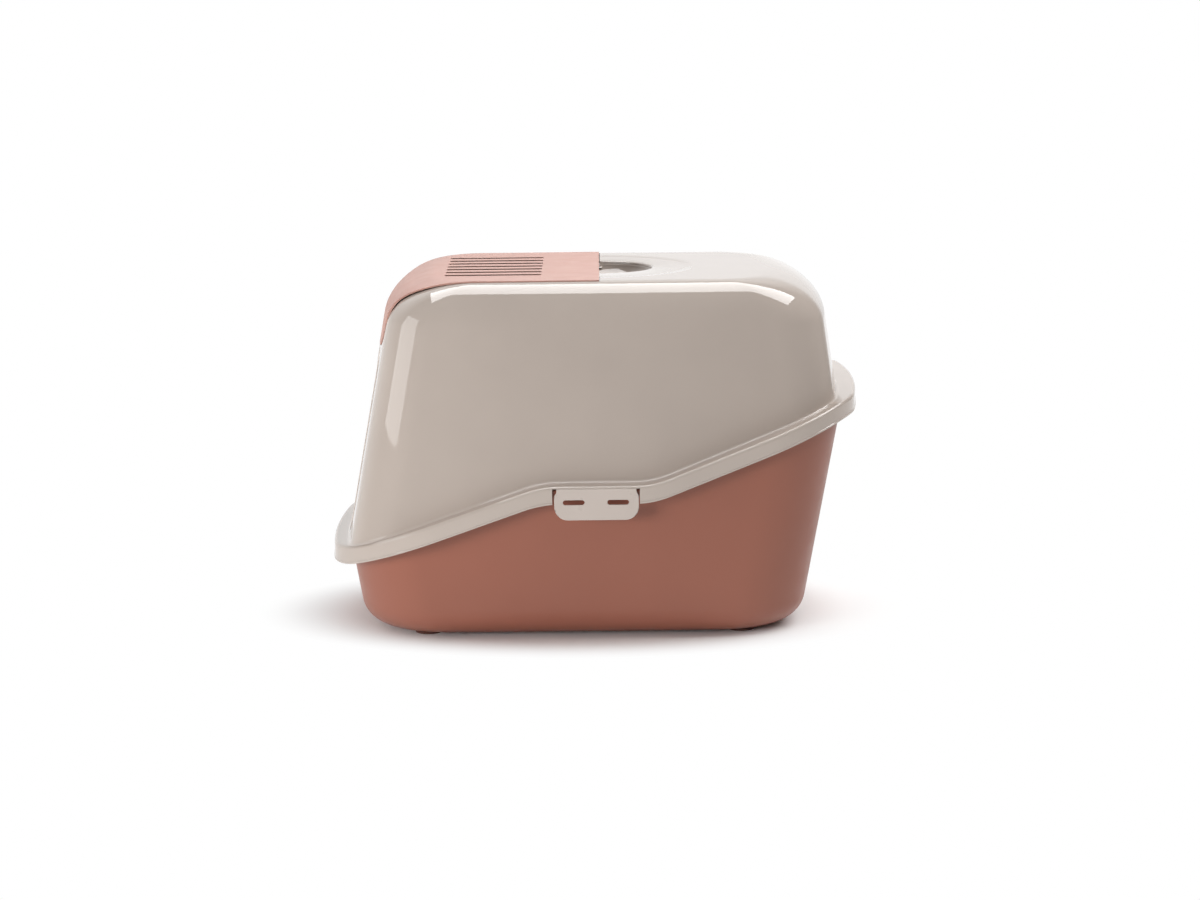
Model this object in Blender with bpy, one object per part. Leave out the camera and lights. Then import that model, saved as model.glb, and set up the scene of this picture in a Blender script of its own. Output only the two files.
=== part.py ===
"""Hooded cat litter box: a deep pan, a lift-off hood with a doorway, and a vented filter cover.

+X is the rear, -X is the entrance, +Z is up. The origin is on the floor, under the middle of the
box. All lengths are in millimetres, and MM turns them into Blender's metres.
"""
from math import cos, pi, radians, sin, sqrt

import bmesh
import bpy
import numpy as np
from mathutils import Matrix, Vector

MM = 0.001

# Whole object
LENGTH = 560.0
WIDTH = 390.0
TOP = 375.0
GAP = 0.3
WALL = 2.5

# The rim: low at the front, level at the clips, high at the rear
RIM_X = (-266.0, -54.0, 61.0, 271.0)
RIM_Z = (97.0, 171.0, 171.0, 254.5)
RIM_EASE = 18.0
RIM_CORNERS = (99.0, 82.0)
RIM_CROWNS = (19.0, 21.0)
SKIRT = 18.5
EDGE_ROUND = 3.0
FILLET = 3.0

# The hood's outer wall: distances at the rim's three levels, and how much it leans in per mm
HOOD_FRONT = 264.0
HOOD_REAR = 258.7
HOOD_HALF_WIDTH = 172.5
FRONT_LEAN = 0.183
REAR_LEAN = 0.146
SIDE_LEAN = 0.082
HOOD_CORNERS = (42.0, 46.0)
HOOD_CROWNS = (13.0, 14.0)
HOOD_BOW = 6.0
ROLL_HEIGHT = 45.0
ROLL_FRONT = 60.0
ROLL_REAR = 64.0
ROLL_SIDE = 32.0

# The pan
PAN_FRONT = 256.4
PAN_FRONT_Z = 61.0
PAN_REAR = 256.4
PAN_REAR_Z = 198.0
PAN_HALF_WIDTH = 186.0
PAN_SIDE_Z = 250.0
PAN_LEANS = (0.165, 0.180, 0.140)
PAN_CORNERS = (66.0, 64.0)
PAN_CROWNS = (13.0, 13.0)
PAN_BOW = 5.0
PAN_FOOT_RADIUS = 30.0
PAN_FLOOR = 3.0
LIP_OUT = 3.3
LIP_THICK = 2.2
LIP_DROP = 11.0
LIP_CLEAR = 1.8
LIP_TOP = WALL + LIP_CLEAR

# Feet
FOOT_RADIUS = 14.0
FOOT_X = (-177.0, 154.0)
FOOT_Y = 106.0

# The filter cover and the step in the hood that it lies in
COVER_HALF_WIDTH = 128.0
COVER_FRONT_HALF_WIDTH = 116.0
COVER_NARROWS = (374.0, 352.0)
COVER_CORNER = 45.0
COVER_REAR = 7.5
COVER_LOW = 303.0
COVER_PROUD = 1.0
COVER_THICK = 2.5
COVER_TIGHT = 0.88
COVER_GAP = 0.7
STEP_DEPTH = 5.5
SLOT_COUNT = 7
SLOT_PITCH = 25.6
SLOT_WIDTH = 9.0
SLOT_X = (-155.0, -53.0)
COVER_SWING_X = -227.3
COVER_SWING_Z = COVER_LOW

# Filter tray and filter
TRAY_X = (-150.0, -58.0)
TRAY_HALF_WIDTH = 88.0
TRAY_LIP = 6.0
TRAY_DEEP = 15.0
TRAY_WALL = 1.8
TRAY_BARS = 6

# Finger dish behind the cover
DISH_X = 8.6
DISH_RADIUS = 55.0
DISH_DEPTH = 24.0

# Doorway, its frame and the swing door
DOOR_LOW = 116.0
DOOR_HIGH = 286.0
DOOR_HALF_WIDTH = 83.0
DOOR_CORNER = 16.0
FRAME_WALL = 3.0
FRAME_LIP = 8.0
FRAME_BACK = -215.0
DOOR_X = -222.0
DOOR_AXIS_Z = 266.0
DOOR_THICK = 2.2
DOOR_GAP = 2.0
AXLE_RADIUS = 2.4
AXLE_GAP = 0.4

# Side clips
CLIP_X = (-41.0, 46.0)
CLIP_NOTCH_X = (-45.0, 49.0)
CLIP_LOW = 136.0
CLIP_HIGH = 168.0
CLIP_OUT = WIDTH / 2 + 0.3
CLIP_THICK = 2.6
CLIP_CORNER = 14.0
CLIP_SLOT_X = (-21.0, 24.7)
CLIP_SLOT_Z = 154.5
CLIP_SLOT = (22.4, 5.2)

# Mesh fineness
END_STEPS = 9
SIDE_STEPS = 16
ROLL_STEPS = 5
WINDOW_STEPS = 6

WARM_GREY = (0.46, 0.40, 0.355)
ROSE = (0.66, 0.40, 0.31)
TERRACOTTA = (0.36, 0.155, 0.105)
SMOKE = (0.30, 0.26, 0.24)
CHARCOAL = (0.03, 0.03, 0.032)
DARK_RUBBER = (0.10, 0.045, 0.035)

for leftover in list(bpy.data.objects):
    bpy.data.objects.remove(leftover, do_unlink=True)

PARTS = bpy.data.collections.new("hooded_litter_box")
CUTTERS = bpy.data.collections.new("cutters")
bpy.context.scene.collection.children.link(PARTS)
bpy.context.scene.collection.children.link(CUTTERS)


def plastic(name, colour, roughness, alpha=1.0):
    """A plain material for one sub-part."""
    material = bpy.data.materials.new(name)
    material.use_nodes = True
    shader = material.node_tree.nodes["Principled BSDF"]
    shader.inputs["Base Color"].default_value = (*colour, 1.0)
    shader.inputs["Roughness"].default_value = roughness
    shader.inputs["Metallic"].default_value = 0.0
    shader.inputs["Alpha"].default_value = alpha
    return material


def add_object(name, mesh, collection):
    made = bpy.data.objects.new(name, mesh)
    collection.objects.link(made)
    if collection is CUTTERS:
        made.hide_render = True
        made.display_type = "WIRE"
    return made


def bmesh_object(name, shape, collection):
    """Turns a bmesh in millimetres into an object in metres, faces pointing out."""
    bmesh.ops.recalc_face_normals(shape, faces=shape.faces)
    bmesh.ops.scale(shape, vec=(MM, MM, MM), verts=shape.verts)
    mesh = bpy.data.meshes.new(name)
    shape.to_mesh(mesh)
    shape.free()
    return add_object(name, mesh, collection)


def finish_part(part, material, angle=35.0):
    part.data.materials.clear()
    part.data.materials.append(material)
    part.data.shade_smooth()
    part.data.set_sharp_from_angle(angle=radians(angle))
    return part


def as_part(cutter):
    """Makes a part out of an object that was made as a cutter."""
    CUTTERS.objects.unlink(cutter)
    PARTS.objects.link(cutter)
    cutter.hide_render = False
    cutter.display_type = "TEXTURED"
    return cutter


def boolean(target, operation, tool):
    step = target.modifiers.new(f"{operation.lower()}_{tool.name}", "BOOLEAN")
    step.operation = operation
    step.object = tool
    step.solver = "EXACT"


def put_origin(part, x, y, z):
    """Moves a part's origin to a point, here on its joint's axis, and leaves its shape in place."""
    point = Vector((x, y, z)) * MM
    part.data.transform(Matrix.Translation(-point))
    part.location = point


def rounded_box(name, low, high, radius, axis, collection=CUTTERS):
    """A box whose four edges along one axis are rounded."""
    shape = bmesh.new()
    bmesh.ops.create_cube(shape, size=1.0)
    size = [b - a for a, b in zip(low, high)]
    middle = [(a + b) / 2 for a, b in zip(low, high)]
    bmesh.ops.scale(shape, vec=size, verts=shape.verts)
    bmesh.ops.translate(shape, vec=middle, verts=shape.verts)
    if radius > 0:
        index = "XYZ".index(axis)
        along = [e for e in shape.edges if abs((e.verts[0].co - e.verts[1].co)[index]) > 1e-6]
        bmesh.ops.bevel(shape, geom=along, offset=radius, segments=4, profile=0.5, affect="EDGES")
    return bmesh_object(name, shape, collection)


def rod(name, centre, radius, length, axis, collection=CUTTERS, segments=20):
    """A cylinder along one axis."""
    shape = bmesh.new()
    turn = {"X": Matrix.Rotation(pi / 2, 4, "Y"), "Y": Matrix.Rotation(pi / 2, 4, "X"), "Z": Matrix()}[axis]
    bmesh.ops.create_cone(shape, cap_ends=True, segments=segments, radius1=radius, radius2=radius,
                          depth=length, matrix=Matrix.Translation(centre) @ turn)
    return bmesh_object(name, shape, collection)


def rim_height(x):
    """The height of the rim's top at a place along the box."""
    reach = np.linspace(-RIM_EASE, RIM_EASE, 9)
    return float(np.mean(np.interp(x + reach, RIM_X, RIM_Z)))


def end_fall(y, half_width, corner, crown):
    """How far an end wall falls back from its middle, through its crown and its corner."""
    turn = min(1.0, max(0.0, (y - half_width + corner) / corner))
    return crown * (y / half_width) ** 2 + corner * (1.0 - sqrt(1.0 - turn * turn))


def plan_point(station, plan):
    """A point of a plan outline on the -Y side: stations run from the front middle to the rear middle."""
    where, t = station
    front, rear, half_width, corners, crowns, bow = plan
    starts = [end_fall(half_width, half_width, corners[i], crowns[i]) for i in (0, 1)]
    if where == "side":
        x = -front + starts[0] + t * (rear - starts[1] + front - starts[0])
        y = half_width
    else:
        index = 0 if where == "front" else 1
        y = half_width * sin(t * pi / 2)
        fall = end_fall(y, half_width, corners[index], crowns[index])
        x = -front + fall if where == "front" else rear - fall
    return x, -y * (1.0 - bow / half_width * (2.0 * x / LENGTH) ** 2)


STATIONS = ([("front", i / END_STEPS) for i in range(END_STEPS)]
            + [("side", i / SIDE_STEPS) for i in range(SIDE_STEPS + 1)]
            + [("rear", i / END_STEPS) for i in range(END_STEPS - 1, -1, -1)])


def ring(plan_at, height_at):
    """One closed row of a loft. Its plan depends on the height and its height on the place along X."""
    half = []
    for station in STATIONS:
        z = height_at(0.0)
        for _ in range(6):
            x, y = plan_point(station, plan_at(z))
            z = height_at(x)
        half.append((x, y, z))
    return half + [(x, -y, z) for x, y, z in reversed(half[1:-1])]


def loft(name, rows, collection):
    """A closed body through rows of equal length, with a flat cap on the first and the last."""
    shape = bmesh.new()
    verts = [[shape.verts.new(p) for p in row] for row in rows]
    count = len(rows[0])
    for a, b in zip(verts, verts[1:]):
        for i in range(count):
            j = (i + 1) % count
            shape.faces.new((a[i], a[j], b[j], b[i]))
    shape.faces.new(verts[0])
    shape.faces.new(verts[-1])
    return bmesh_object(name, shape, collection)


def rim_plan(offset):
    """The rim's outline, grown by an offset. It is the same at every height."""
    corners = (RIM_CORNERS[0] + offset, RIM_CORNERS[1] + offset)
    plan = (LENGTH / 2 + offset, LENGTH / 2 + offset, WIDTH / 2 + offset, corners, RIM_CROWNS, 0.0)
    return lambda z: plan


def hood_plan(offset, roll=0.0, tight=1.0):
    """The hood wall's outline at a height. roll turns from 0 on the wall to 90 degrees on the top.

    tight scales the shoulder's radii: under 1 it gives a squarer shoulder.
    """
    pull = 1.0 - cos(roll)

    def at(z):
        front = HOOD_FRONT - (z - RIM_Z[0]) * FRONT_LEAN + offset - pull * (ROLL_FRONT * tight + offset)
        rear = HOOD_REAR - (z - RIM_Z[3]) * REAR_LEAN + offset - pull * (ROLL_REAR * tight + offset)
        half_width = HOOD_HALF_WIDTH - (z - RIM_Z[1]) * SIDE_LEAN + offset
        half_width -= pull * (ROLL_SIDE * tight + offset)
        corners = tuple(c + offset - 0.5 * pull * ROLL_SIDE * tight for c in HOOD_CORNERS)
        return front, rear, half_width, corners, HOOD_CROWNS, HOOD_BOW

    return at


def roll_rows(offset, tight=1.0):
    """The rows of the hood's rounded shoulder, from the top of the wall to the flat top."""
    rows = []
    height = ROLL_HEIGHT * tight
    for i in range(ROLL_STEPS + 1):
        turn = i / ROLL_STEPS * pi / 2
        row_z = TOP - height + (height + offset) * sin(turn)
        rows.append(ring(hood_plan(offset, turn, tight), lambda x, z=row_z: z))
    return rows


def hood_form(name, offset, bottom, tight=1.0):
    """The hood's plain form, without its rim, grown by an offset. It is used only for cutting."""
    rows = [ring(hood_plan(offset), lambda x: bottom)] + roll_rows(offset, tight)
    return loft(name, rows, CUTTERS)


def window(name, grow):
    """The block around the filter cover, with the outline that the cover has from the front.

    It is widest over the flat top, narrows a little down the front, and has round lower corners.
    """
    radius = COVER_CORNER + grow
    side = []
    for i in range(WINDOW_STEPS + 1):
        turn = i / WINDOW_STEPS * pi / 2
        side.append((COVER_FRONT_HALF_WIDTH - COVER_CORNER + radius * sin(turn),
                     COVER_LOW + COVER_CORNER - radius * cos(turn)))
    high, low = COVER_NARROWS
    for i in range(WINDOW_STEPS + 1):
        share = i / WINDOW_STEPS
        ease = share * share * (3.0 - 2.0 * share)
        half_width = COVER_FRONT_HALF_WIDTH + ease * (COVER_HALF_WIDTH - COVER_FRONT_HALF_WIDTH)
        side.append((half_width + grow, low + share * (high - low)))
    side.append((COVER_HALF_WIDTH + grow, TOP + LENGTH))
    outline = side + [(-y, z) for y, z in reversed(side)]

    shape = bmesh.new()
    front = [shape.verts.new((-LENGTH, y, z)) for y, z in outline]
    rear = [shape.verts.new((COVER_REAR + grow, y, z)) for y, z in outline]
    shape.faces.new(front)
    shape.faces.new(rear)
    for i in range(len(outline)):
        shape.faces.new((front[i - 1], front[i], rear[i], rear[i - 1]))
    return bmesh_object(name, shape, CUTTERS)


def dish(name, grow):
    """The bowl that fingers reach into to lift the cover."""
    shape = bmesh.new()
    bmesh.ops.create_uvsphere(shape, u_segments=28, v_segments=14, radius=1.0)
    bmesh.ops.scale(shape, vec=(DISH_RADIUS + grow, DISH_RADIUS + grow, DISH_DEPTH + grow), verts=shape.verts)
    bmesh.ops.translate(shape, vec=(DISH_X, 0.0, TOP), verts=shape.verts)
    return bmesh_object(name, shape, CUTTERS)


def build_pan():
    """The pan, as one loft: up its outside, round the lip and down its inside."""
    def plan(offset, pull=0.0):
        def at(z):
            front = PAN_FRONT + (z - PAN_FRONT_Z) * PAN_LEANS[0] + offset - pull
            rear = PAN_REAR + (z - PAN_REAR_Z) * PAN_LEANS[1] + offset - pull
            half_width = PAN_HALF_WIDTH + (z - PAN_SIDE_Z) * PAN_LEANS[2] + offset - pull
            corners = tuple(c + offset - 0.6 * pull for c in PAN_CORNERS)
            return front, rear, half_width, corners, PAN_CROWNS, PAN_BOW
        return at

    def foot_rows(offset):
        rows = []
        radius = PAN_FOOT_RADIUS + offset
        for i in range(ROLL_STEPS + 1):
            turn = i / ROLL_STEPS * pi / 2
            height = PAN_FLOOR + PAN_FOOT_RADIUS - radius * cos(turn)
            rows.append(ring(plan(offset, radius * (1.0 - sin(turn))), lambda x, z=height: z))
        return rows

    def rim_row(offset, drop):
        return ring(rim_plan(offset), lambda x: rim_height(x) - drop)

    inner_lip = -LIP_OUT - LIP_THICK
    rows = foot_rows(0.0)
    rows.append(ring(plan(0.0), lambda x: rim_height(x) - LIP_TOP - LIP_THICK))
    rows.append(rim_row(inner_lip, LIP_TOP + LIP_THICK))
    rows.append(rim_row(inner_lip, LIP_DROP))
    rows.append(rim_row(-LIP_OUT, LIP_DROP))
    rows.append(rim_row(-LIP_OUT, LIP_TOP))
    rows.append(ring(plan(-WALL), lambda x: rim_height(x) - LIP_TOP))
    rows += reversed(foot_rows(-WALL))
    pan = loft("base_pan", rows, PARTS)
    finish_part(pan, plastic("pan_plastic", TERRACOTTA, 0.5))
    return pan


def build_feet(pan):
    """Four rubber feet under the pan's floor."""
    rubber = plastic("foot_rubber", DARK_RUBBER, 0.8)
    for end, x in zip(("front", "rear"), FOOT_X):
        for side, y in (("right", -FOOT_Y), ("left", FOOT_Y)):
            height = PAN_FLOOR - GAP
            foot = rod(f"foot_{end}_{side}", (0.0, 0.0, height / 2), FOOT_RADIUS, height, "Z", PARTS)
            foot.location = (x * MM, y * MM, 0.0)
            foot.parent = pan
            finish_part(foot, rubber)


def build_hood(clip_notches):
    """The hood: its outer solid, less its inside, the cover's step, the dish, the doorway and notches."""
    def rim_row(offset, drop):
        return ring(rim_plan(offset), lambda x: rim_height(x) - drop)

    bottom_inset = WALL * 2.4
    outer = [ring(rim_plan(-bottom_inset), lambda x: -8.0), rim_row(-bottom_inset, SKIRT)]
    outer += [rim_row(-0.8, SKIRT), rim_row(0.0, SKIRT - 0.8), rim_row(0.0, EDGE_ROUND)]
    outer += [rim_row(-0.9, 0.9), rim_row(-EDGE_ROUND, 0.0)]
    outer.append(ring(hood_plan(FILLET), rim_height))
    outer.append(ring(hood_plan(0.0), lambda x: rim_height(x) + FILLET))
    hood = loft("hood_shell", outer + roll_rows(0.0), PARTS)

    inner = [ring(rim_plan(-WALL), lambda x: -12.0), rim_row(-WALL, WALL)]
    inner.append(ring(hood_plan(-WALL), lambda x: rim_height(x) - WALL))
    cavity = loft("hood_inside", inner + roll_rows(-WALL), CUTTERS)

    step_wall = window("step_wall", COVER_GAP + WALL)
    boolean(step_wall, "DIFFERENCE", hood_form("step_wall_floor", -STEP_DEPTH - WALL, 150.0))
    boolean(cavity, "DIFFERENCE", step_wall)
    boolean(cavity, "DIFFERENCE", dish("dish_wall", WALL))

    step = window("step", COVER_GAP)
    boolean(step, "DIFFERENCE", hood_form("step_floor", -STEP_DEPTH, 150.0))

    boolean(hood, "DIFFERENCE", cavity)
    boolean(hood, "DIFFERENCE", step)
    boolean(hood, "DIFFERENCE", dish("dish_bowl", 0.0))
    tray_hole = rounded_box("tray_hole", (TRAY_X[0] - GAP, -TRAY_HALF_WIDTH - GAP, TOP - 40.0),
                            (TRAY_X[1] + GAP, TRAY_HALF_WIDTH + GAP, TOP + 10.0), 6.0, "Z")
    boolean(hood, "DIFFERENCE", tray_hole)
    boolean(hood, "DIFFERENCE", doorway("doorway_hole", FRAME_WALL + GAP, -150.0))
    for notch in clip_notches:
        boolean(hood, "DIFFERENCE", notch)
    finish_part(hood, plastic("hood_plastic", WARM_GREY, 0.15))
    return hood


def doorway(name, grow, back):
    """A block of the doorway's outline, from in front of the hood back to a given depth."""
    return rounded_box(name, (-LENGTH, -DOOR_HALF_WIDTH - grow, DOOR_LOW - grow),
                       (back, DOOR_HALF_WIDTH + grow, DOOR_HIGH + grow), DOOR_CORNER + grow, "X")


def build_door_frame(hood):
    """A short rectangular tunnel, upright at the back, with a lip that lies on the hood's front wall."""
    frame = as_part(doorway("door_frame", FRAME_WALL, FRAME_BACK))
    lip = doorway("frame_lip", FRAME_WALL + FRAME_LIP, -200.0)
    boolean(lip, "DIFFERENCE", hood_form("frame_lip_seat", GAP, 20.0))
    boolean(frame, "UNION", lip)
    boolean(frame, "INTERSECT", hood_form("frame_face", GAP + 2.0, 20.0))
    boolean(frame, "DIFFERENCE", doorway("frame_opening", 0.0, -100.0))
    axle = rod("axle_holes", (DOOR_X, 0.0, DOOR_AXIS_Z), AXLE_RADIUS + AXLE_GAP,
               2 * (DOOR_HALF_WIDTH + FRAME_WALL + 5.0), "Y")
    boolean(frame, "DIFFERENCE", axle)
    frame.parent = hood
    finish_part(frame, plastic("frame_plastic", WARM_GREY, 0.3))
    return frame


def build_swing_door(frame):
    """The clear flap. It hangs upright from two stub axles that turn in the frame's sides."""
    half_width = DOOR_HALF_WIDTH - DOOR_GAP
    low = DOOR_LOW + DOOR_GAP + 0.5
    panel = rounded_box("swing_door", (DOOR_X - DOOR_THICK / 2, -half_width, low),
                        (DOOR_X + DOOR_THICK / 2, half_width, DOOR_HIGH - DOOR_GAP), 0.0, "X", PARTS)
    corner_trim = doorway("door_corners", -DOOR_GAP, -100.0)
    boolean(panel, "INTERSECT", corner_trim)
    axle = rod("door_axle", (DOOR_X, 0.0, DOOR_AXIS_Z), AXLE_RADIUS,
               2 * (DOOR_HALF_WIDTH + FRAME_WALL), "Y", segments=16)
    boolean(panel, "UNION", axle)
    rib = rounded_box("door_pull", (DOOR_X - 4.0, -35.0, low + 8.0),
                      (DOOR_X + 4.0, 35.0, low + 12.0), 1.6, "Y")
    boolean(panel, "UNION", rib)
    put_origin(panel, DOOR_X, 0.0, DOOR_AXIS_Z)
    panel.parent = frame
    finish_part(panel, plastic("door_plastic", SMOKE, 0.08, 0.45))


def build_cover(hood):
    """The vented cover over the top front corner, which follows the hood's form and lies in its step."""
    cover = as_part(window("filter_cover", 0.0))
    boolean(cover, "INTERSECT", hood_form("cover_outside", COVER_PROUD, 150.0, COVER_TIGHT))
    boolean(cover, "DIFFERENCE", hood_form("cover_inside", COVER_PROUD - COVER_THICK, 150.0, COVER_TIGHT))
    for i in range(SLOT_COUNT):
        y = (i - (SLOT_COUNT - 1) / 2) * SLOT_PITCH
        slot = rounded_box(f"vent_slot_{i}", (SLOT_X[0], y - SLOT_WIDTH / 2, TOP - 10.0),
                           (SLOT_X[1], y + SLOT_WIDTH / 2, TOP + 10.0), 2.5, "Z")
        boolean(cover, "DIFFERENCE", slot)
    put_origin(cover, COVER_SWING_X, 0.0, COVER_SWING_Z)
    cover.parent = hood
    finish_part(cover, plastic("cover_plastic", ROSE, 0.5))


def build_filter(hood):
    """A drop-in tray with a barred floor, hung by its lip in the step, and the filter pad in it."""
    seat = TOP - STEP_DEPTH + GAP
    tray = rounded_box("filter_tray", (TRAY_X[0] + GAP, -TRAY_HALF_WIDTH + GAP, seat - TRAY_DEEP),
                       (TRAY_X[1] - GAP, TRAY_HALF_WIDTH - GAP, seat + 1.0), 5.5, "Z", PARTS)
    lip = rounded_box("tray_lip", (TRAY_X[0] - TRAY_LIP * 0.4, -TRAY_HALF_WIDTH - TRAY_LIP, seat),
                      (TRAY_X[1] + TRAY_LIP, TRAY_HALF_WIDTH + TRAY_LIP, seat + 1.6), 3.0, "Z")
    boolean(tray, "UNION", lip)
    hollow = rounded_box("tray_hollow", (TRAY_X[0] + TRAY_WALL, -TRAY_HALF_WIDTH + TRAY_WALL,
                                         seat - TRAY_DEEP + TRAY_WALL),
                         (TRAY_X[1] - TRAY_WALL, TRAY_HALF_WIDTH - TRAY_WALL, seat + 10.0), 4.0, "Z")
    boolean(tray, "DIFFERENCE", hollow)
    pitch = 2 * (TRAY_HALF_WIDTH - 10.0) / TRAY_BARS
    for i in range(TRAY_BARS):
        y = -TRAY_HALF_WIDTH + 10.0 + (i + 0.5) * pitch
        hole = rounded_box(f"tray_slot_{i}", (TRAY_X[0] + 9.0, y - pitch / 2 + 3.0, TOP - 60.0),
                           (TRAY_X[1] - 9.0, y + pitch / 2 - 3.0, TOP), 3.0, "Z")
        boolean(tray, "DIFFERENCE", hole)
    tray.parent = hood
    finish_part(tray, plastic("tray_plastic", WARM_GREY, 0.4))

    floor = seat - TRAY_DEEP + TRAY_WALL + GAP
    inset = TRAY_WALL + 1.0
    pad = rounded_box("carbon_filter", (TRAY_X[0] + inset, -TRAY_HALF_WIDTH + inset, floor),
                      (TRAY_X[1] - inset, TRAY_HALF_WIDTH - inset, floor + 9.0), 4.0, "Z", PARTS)
    pad.parent = tray
    finish_part(pad, plastic("filter_foam", CHARCOAL, 0.95))


def build_clip(hood, name, side):
    """A clip that hangs from the edge of the rim and closes over the pan's lip."""
    near, far = sorted((side * CLIP_OUT, side * (CLIP_OUT - CLIP_THICK)))
    clip = rounded_box(name, (CLIP_X[0], near, CLIP_LOW), (CLIP_X[1], far, CLIP_HIGH + 2 * CLIP_CORNER),
                       CLIP_CORNER, "Y", PARTS)
    top = rounded_box(f"{name}_top", (-100.0, near - 5.0, CLIP_HIGH), (100.0, far + 5.0, TOP), 0.0, "X")
    boolean(clip, "DIFFERENCE", top)
    for i, x in enumerate(CLIP_SLOT_X):
        half_long, half_high = CLIP_SLOT[0] / 2, CLIP_SLOT[1] / 2
        slot = rounded_box(f"{name}_slot_{i}", (x - half_long, near - 5.0, CLIP_SLOT_Z - half_high),
                           (x + half_long, far + 5.0, CLIP_SLOT_Z + half_high), half_high - 0.1, "Y")
        boolean(clip, "DIFFERENCE", slot)
    put_origin(clip, 0.0, side * CLIP_OUT, CLIP_HIGH + GAP)
    clip.parent = hood
    finish_part(clip, plastic(f"{name}_plastic", WARM_GREY, 0.2))


def clip_notch(name, side):
    """The gap in the skirt behind and beside a clip."""
    near, far = sorted((side * (WIDTH / 2 - WALL - 2.0), side * (WIDTH / 2 + 20.0)))
    return rounded_box(name, (CLIP_NOTCH_X[0], near, 0.0),
                       (CLIP_NOTCH_X[1], far, RIM_Z[1] - WALL), 0.0, "X")


def main():
    pan = build_pan()
    build_feet(pan)
    notches = [clip_notch("notch_right", -1), clip_notch("notch_left", 1)]
    hood = build_hood(notches)
    hood.parent = pan
    frame = build_door_frame(hood)
    build_swing_door(frame)
    build_cover(hood)
    build_filter(hood)
    build_clip(hood, "side_clip_right", -1)
    build_clip(hood, "side_clip_left", 1)


main()
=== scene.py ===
"""The looks of a hooded cat litter box: a glossy hood, a satin pan and a matte vented cover.

Lengths are in millimetres, and MM turns them into Blender's metres. Only the floor, the lights and
the camera are placed in metres. +X is the rear, +Z is up, and the overall sizes come from the
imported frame.
"""
from contextlib import contextmanager
from math import cos, pi, radians, sin

import bmesh
import bpy
import numpy as np
from mathutils import Matrix, Vector, noise


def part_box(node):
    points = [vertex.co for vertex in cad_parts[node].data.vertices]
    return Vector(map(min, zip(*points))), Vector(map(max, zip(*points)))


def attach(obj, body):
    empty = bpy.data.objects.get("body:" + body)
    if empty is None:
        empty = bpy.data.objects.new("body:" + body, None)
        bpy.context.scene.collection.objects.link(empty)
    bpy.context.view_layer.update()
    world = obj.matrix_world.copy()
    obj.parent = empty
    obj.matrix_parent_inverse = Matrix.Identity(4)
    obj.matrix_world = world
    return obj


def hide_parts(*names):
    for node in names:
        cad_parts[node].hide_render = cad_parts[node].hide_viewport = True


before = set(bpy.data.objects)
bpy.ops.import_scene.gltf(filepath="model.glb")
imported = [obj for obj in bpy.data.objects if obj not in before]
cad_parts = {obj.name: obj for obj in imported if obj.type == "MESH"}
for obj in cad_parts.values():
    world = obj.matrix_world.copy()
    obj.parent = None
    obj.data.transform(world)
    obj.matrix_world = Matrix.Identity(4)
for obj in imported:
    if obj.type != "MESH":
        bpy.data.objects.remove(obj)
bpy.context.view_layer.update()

MM = 0.001


def cad_box(node):
    """A CAD node's lowest and highest corners, in millimetres."""
    low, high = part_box(node)
    return np.array(low) / MM, np.array(high) / MM


HOOD_BOX = cad_box("hood_shell")
PAN_BOX = cad_box("base_pan")
COVER_BOX = cad_box("filter_cover")
FRAME_BOX = cad_box("door_frame")
DOOR_BOX = cad_box("swing_door")
CLIP_BOX = cad_box("side_clip_right")

LENGTH = HOOD_BOX[1][0] - HOOD_BOX[0][0]
WIDTH = HOOD_BOX[1][1] - HOOD_BOX[0][1]
TOP = HOOD_BOX[1][2]
WALL = 2.5
GAP = 0.3

# The rim. The profile of the skirt's lower edge goes outwards from the rim's outline, and downwards
# from the skirt's end.
SKIRT = 18.5
SKIRT_EDGE = ((-WALL, -0.6), (-WALL + 0.5, 0.0), (0.1, 0.1), (0.6, -0.6), (0.6, -1.4), (0.0, -2.2))
RIM_ROUND = 3.6
RIM_FILLET = 3.0
RIM_X = (-266.0, -54.0, 61.0, 271.0)
RIM_FRONT = HOOD_BOX[0][2] + SKIRT
RIM_Z = (RIM_FRONT, RIM_FRONT + 74.0, RIM_FRONT + 74.0, RIM_FRONT + 157.5)
RIM_EASE = 18.0
RIM_CORNERS = (99.0, 82.0)
RIM_CROWNS = (19.0, 21.0)

# The hood's wall, which starts a little above the rim, and its shoulder
WALL_START = 3.4
HOOD_FRONT = 264.0
HOOD_REAR = 258.7
HOOD_HALF_WIDTH = 172.5
FRONT_LEAN = 0.183
REAR_LEAN = 0.146
SIDE_LEAN = 0.082
HOOD_CORNERS = (42.0, 46.0)
HOOD_CROWNS = (13.0, 14.0)
HOOD_BOW = 6.0
ROLL_HEIGHT = 45.0
ROLL_FRONT = 60.0
ROLL_REAR = 64.0
ROLL_SIDE = 32.0

# The heights where the hood's plain form starts, for the cover's shapes and for the doorway frame
FORM_LOW = 150.0
FRONT_FORM_LOW = 20.0

# The pan
PAN_FRONT = 256.4
PAN_FRONT_Z = 61.0
PAN_REAR = 256.4
PAN_REAR_Z = 198.0
PAN_HALF_WIDTH = 186.0
PAN_SIDE_Z = 250.0
PAN_LEANS = (0.165, 0.180, 0.140)
PAN_CORNERS = (66.0, 64.0)
PAN_CROWNS = (13.0, 13.0)
PAN_BOW = 5.0
PAN_FOOT_RADIUS = 30.0
PAN_FLOOR = PAN_BOX[0][2]
LIP_OUT = 3.3
LIP_THICK = 2.2
LIP_DROP = 11.0
LIP_TOP = WALL + 1.8
LIP_CHAMFER = 1.0

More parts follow.
